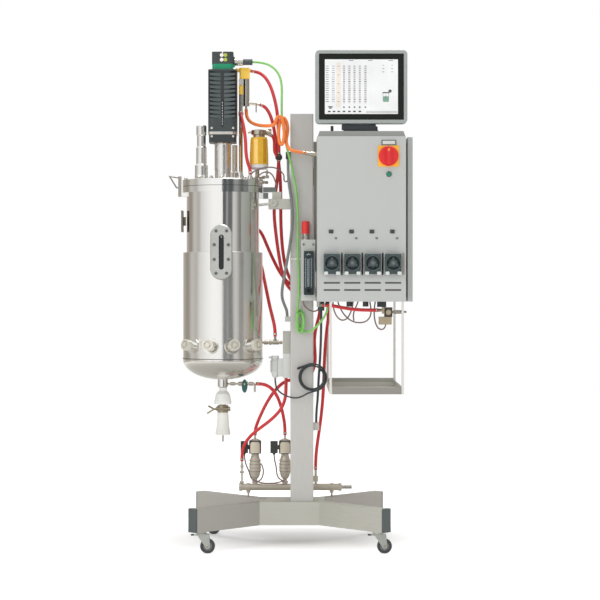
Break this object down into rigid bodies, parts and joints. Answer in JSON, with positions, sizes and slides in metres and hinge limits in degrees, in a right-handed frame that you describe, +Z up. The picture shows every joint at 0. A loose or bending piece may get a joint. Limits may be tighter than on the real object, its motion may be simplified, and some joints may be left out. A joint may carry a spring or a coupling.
{
  "type": "pilot bioreactor",
  "caption": "Castor-mounted stainless stirred bioreactor with jacketed vessel, control cabinet, tilting display, pump row and steam manifold.",
  "frame": {"origin": "on the floor, under the middle of the base hub", "axes": "+Z up, front faces -Y, vessel on -X, control cabinet on +X"},
  "size_m": [0.8366, 0.5925, 1.712],
  "materials": {
    "stainless": "satin",
    "polished": "polished",
    "frame_steel": "satin",
    "cabinet": "satin",
    "dark_plastic": "matte",
    "grey_plastic": "matte",
    "white_plastic": "satin",
    "cast_motor": "satin",
    "yellow_plastic": "gloss",
    "red_plastic": "gloss",
    "green_plastic": "gloss",
    "amber": "gloss",
    "glass": "clear",
    "screen": "gloss",
    "tread": "matte",
    "red_rubber": "satin",
    "orange_rubber": "satin",
    "green_rubber": "satin",
    "grey_rubber": "satin"
  },
  "bodies": {
    "stand": {"base_frame": "frame_steel", "leg_caps": "dark_plastic", "column": "frame_steel", "vessel_bracket": "frame_steel", "steam_manifold": "stainless", "vessel_shell": "polished", "jacket": "polished", "lid": "polished", "lid_bolts": "stainless", "sight_frame": "stainless", "sight_glass": "glass", "port_plugs": "polished", "motor_body": "cast_motor", "motor_head": "dark_plastic", "bearing_housing": "polished", "probe_towers": "polished", "condenser": "stainless", "condenser_caps": "yellow_plastic", "filter_bowl": "amber", "filter_fittings": "stainless", "drain_valve": "white_plastic", "sample_valve": "stainless", "jacket_inlet": "stainless", "junction_box": "grey_plastic", "cabinet_shell": "cabinet", "cabinet_front": "cabinet", "pump_heads": "dark_plastic", "switch_plate": "yellow_plastic", "monitor_stand": "dark_plastic", "shelf_frame": "stainless", "gas_block": "stainless", "flow_meter": "grey_plastic", "green_cable": "green_rubber", "green_hank": "green_rubber", "orange_hose": "orange_rubber", "orange_coil": "orange_rubber", "cable_leads": "grey_rubber", "black_coil": "grey_rubber", "red_hoses_upper": "red_rubber", "red_hoses_lower": "red_rubber"},
    "pump_rotor_1": {"pump_rotor_1": "grey_plastic"},
    "pump_rotor_2": {"pump_rotor_2": "grey_plastic"},
    "pump_rotor_3": {"pump_rotor_3": "grey_plastic"},
    "pump_rotor_4": {"pump_rotor_4": "grey_plastic"},
    "fork_fl": {"castor_fork_fl": "stainless"},
    "wheel_fl": {"castor_wheel_fl": "tread"},
    "fork_fr": {"castor_fork_fr": "stainless"},
    "wheel_fr": {"castor_wheel_fr": "tread"},
    "fork_rl": {"castor_fork_rl": "stainless"},
    "wheel_rl": {"castor_wheel_rl": "tread"},
    "fork_rr": {"castor_fork_rr": "stainless"},
    "wheel_rr": {"castor_wheel_rr": "tread"},
    "agitator": {"agitator": "stainless"},
    "switch_knob": {"switch_knob": "red_plastic"},
    "sample_handle": {"sample_handle": "green_plastic"},
    "drain_knob": {"drain_knob": "white_plastic"},
    "flow_knob": {"flow_knob": "dark_plastic"},
    "air_knob": {"air_knob": "red_plastic"},
    "monitor": {"monitor_housing": "grey_plastic", "monitor_glass": "screen"}
  },
  "joints": [
    {"name": "castor_swivel_fl", "type": "hinge", "parent": "stand", "child": "fork_fl", "pos_m": [-0.29757, -0.25079, 0.064], "axis": [0, 0, 1], "continuous": true},
    {"name": "castor_roll_fl", "type": "hinge", "parent": "fork_fl", "child": "wheel_fl", "pos_m": [-0.27557, -0.25079, 0.025], "axis": [0, 1, 0], "continuous": true},
    {"name": "castor_swivel_fr", "type": "hinge", "parent": "stand", "child": "fork_fr", "pos_m": [0.29757, -0.25079, 0.064], "axis": [0, 0, 1], "continuous": true},
    {"name": "castor_roll_fr", "type": "hinge", "parent": "fork_fr", "child": "wheel_fr", "pos_m": [0.31957, -0.25079, 0.025], "axis": [0, 1, 0], "continuous": true},
    {"name": "castor_swivel_rl", "type": "hinge", "parent": "stand", "child": "fork_rl", "pos_m": [-0.29757, 0.25079, 0.064], "axis": [0, 0, 1], "continuous": true},
    {"name": "castor_roll_rl", "type": "hinge", "parent": "fork_rl", "child": "wheel_rl", "pos_m": [-0.27557, 0.25079, 0.025], "axis": [0, 1, 0], "continuous": true},
    {"name": "castor_swivel_rr", "type": "hinge", "parent": "stand", "child": "fork_rr", "pos_m": [0.29757, 0.25079, 0.064], "axis": [0, 0, 1], "continuous": true},
    {"name": "castor_roll_rr", "type": "hinge", "parent": "fork_rr", "child": "wheel_rr", "pos_m": [0.31957, 0.25079, 0.025], "axis": [0, 1, 0], "continuous": true},
    {"name": "agitator_spin", "type": "hinge", "parent": "stand", "child": "agitator", "pos_m": [-0.232, -0.03, 1.3], "axis": [0, 0, 1], "continuous": true},
    {"name": "pump_spin_1", "type": "hinge", "parent": "stand", "child": "pump_rotor_1", "pos_m": [0.142, -0.28, 0.976], "axis": [0, 1, 0], "continuous": true},
    {"name": "pump_spin_2", "type": "hinge", "parent": "stand", "child": "pump_rotor_2", "pos_m": [0.2105, -0.28, 0.976], "axis": [0, 1, 0], "continuous": true},
    {"name": "pump_spin_3", "type": "hinge", "parent": "stand", "child": "pump_rotor_3", "pos_m": [0.279, -0.28, 0.976], "axis": [0, 1, 0], "continuous": true},
    {"name": "pump_spin_4", "type": "hinge", "parent": "stand", "child": "pump_rotor_4", "pos_m": [0.3475, -0.28, 0.976], "axis": [0, 1, 0], "continuous": true},
    {"name": "switch_turn", "type": "hinge", "parent": "stand", "child": "switch_knob", "pos_m": [0.332, -0.28, 1.335], "axis": [0, 1, 0], "range_deg": [0, 90]},
    {"name": "sample_turn", "type": "hinge", "parent": "stand", "child": "sample_handle", "pos_m": [-0.156, -0.045, 0.5594], "axis": [0, 1, 0], "range_deg": [0, 90]},
    {"name": "drain_turn", "type": "hinge", "parent": "stand", "child": "drain_knob", "pos_m": [-0.232, -0.03, 0.42], "axis": [0, 0, 1], "range_deg": [0, 180]},
    {"name": "flow_turn", "type": "hinge", "parent": "stand", "child": "flow_knob", "pos_m": [0.0665, -0.115, 0.883], "axis": [0, 1, 0], "range_deg": [0, 330]},
    {"name": "air_turn", "type": "hinge", "parent": "stand", "child": "air_knob", "pos_m": [0.0555, -0.085, 1.1], "axis": [0, 0, 1], "range_deg": [0, 180]},
    {"name": "monitor_tilt", "type": "hinge", "parent": "stand", "child": "monitor", "pos_m": [0.242, -0.212, 1.437], "axis": [1, 0, 0], "range_deg": [-20, 5]}
  ]
}
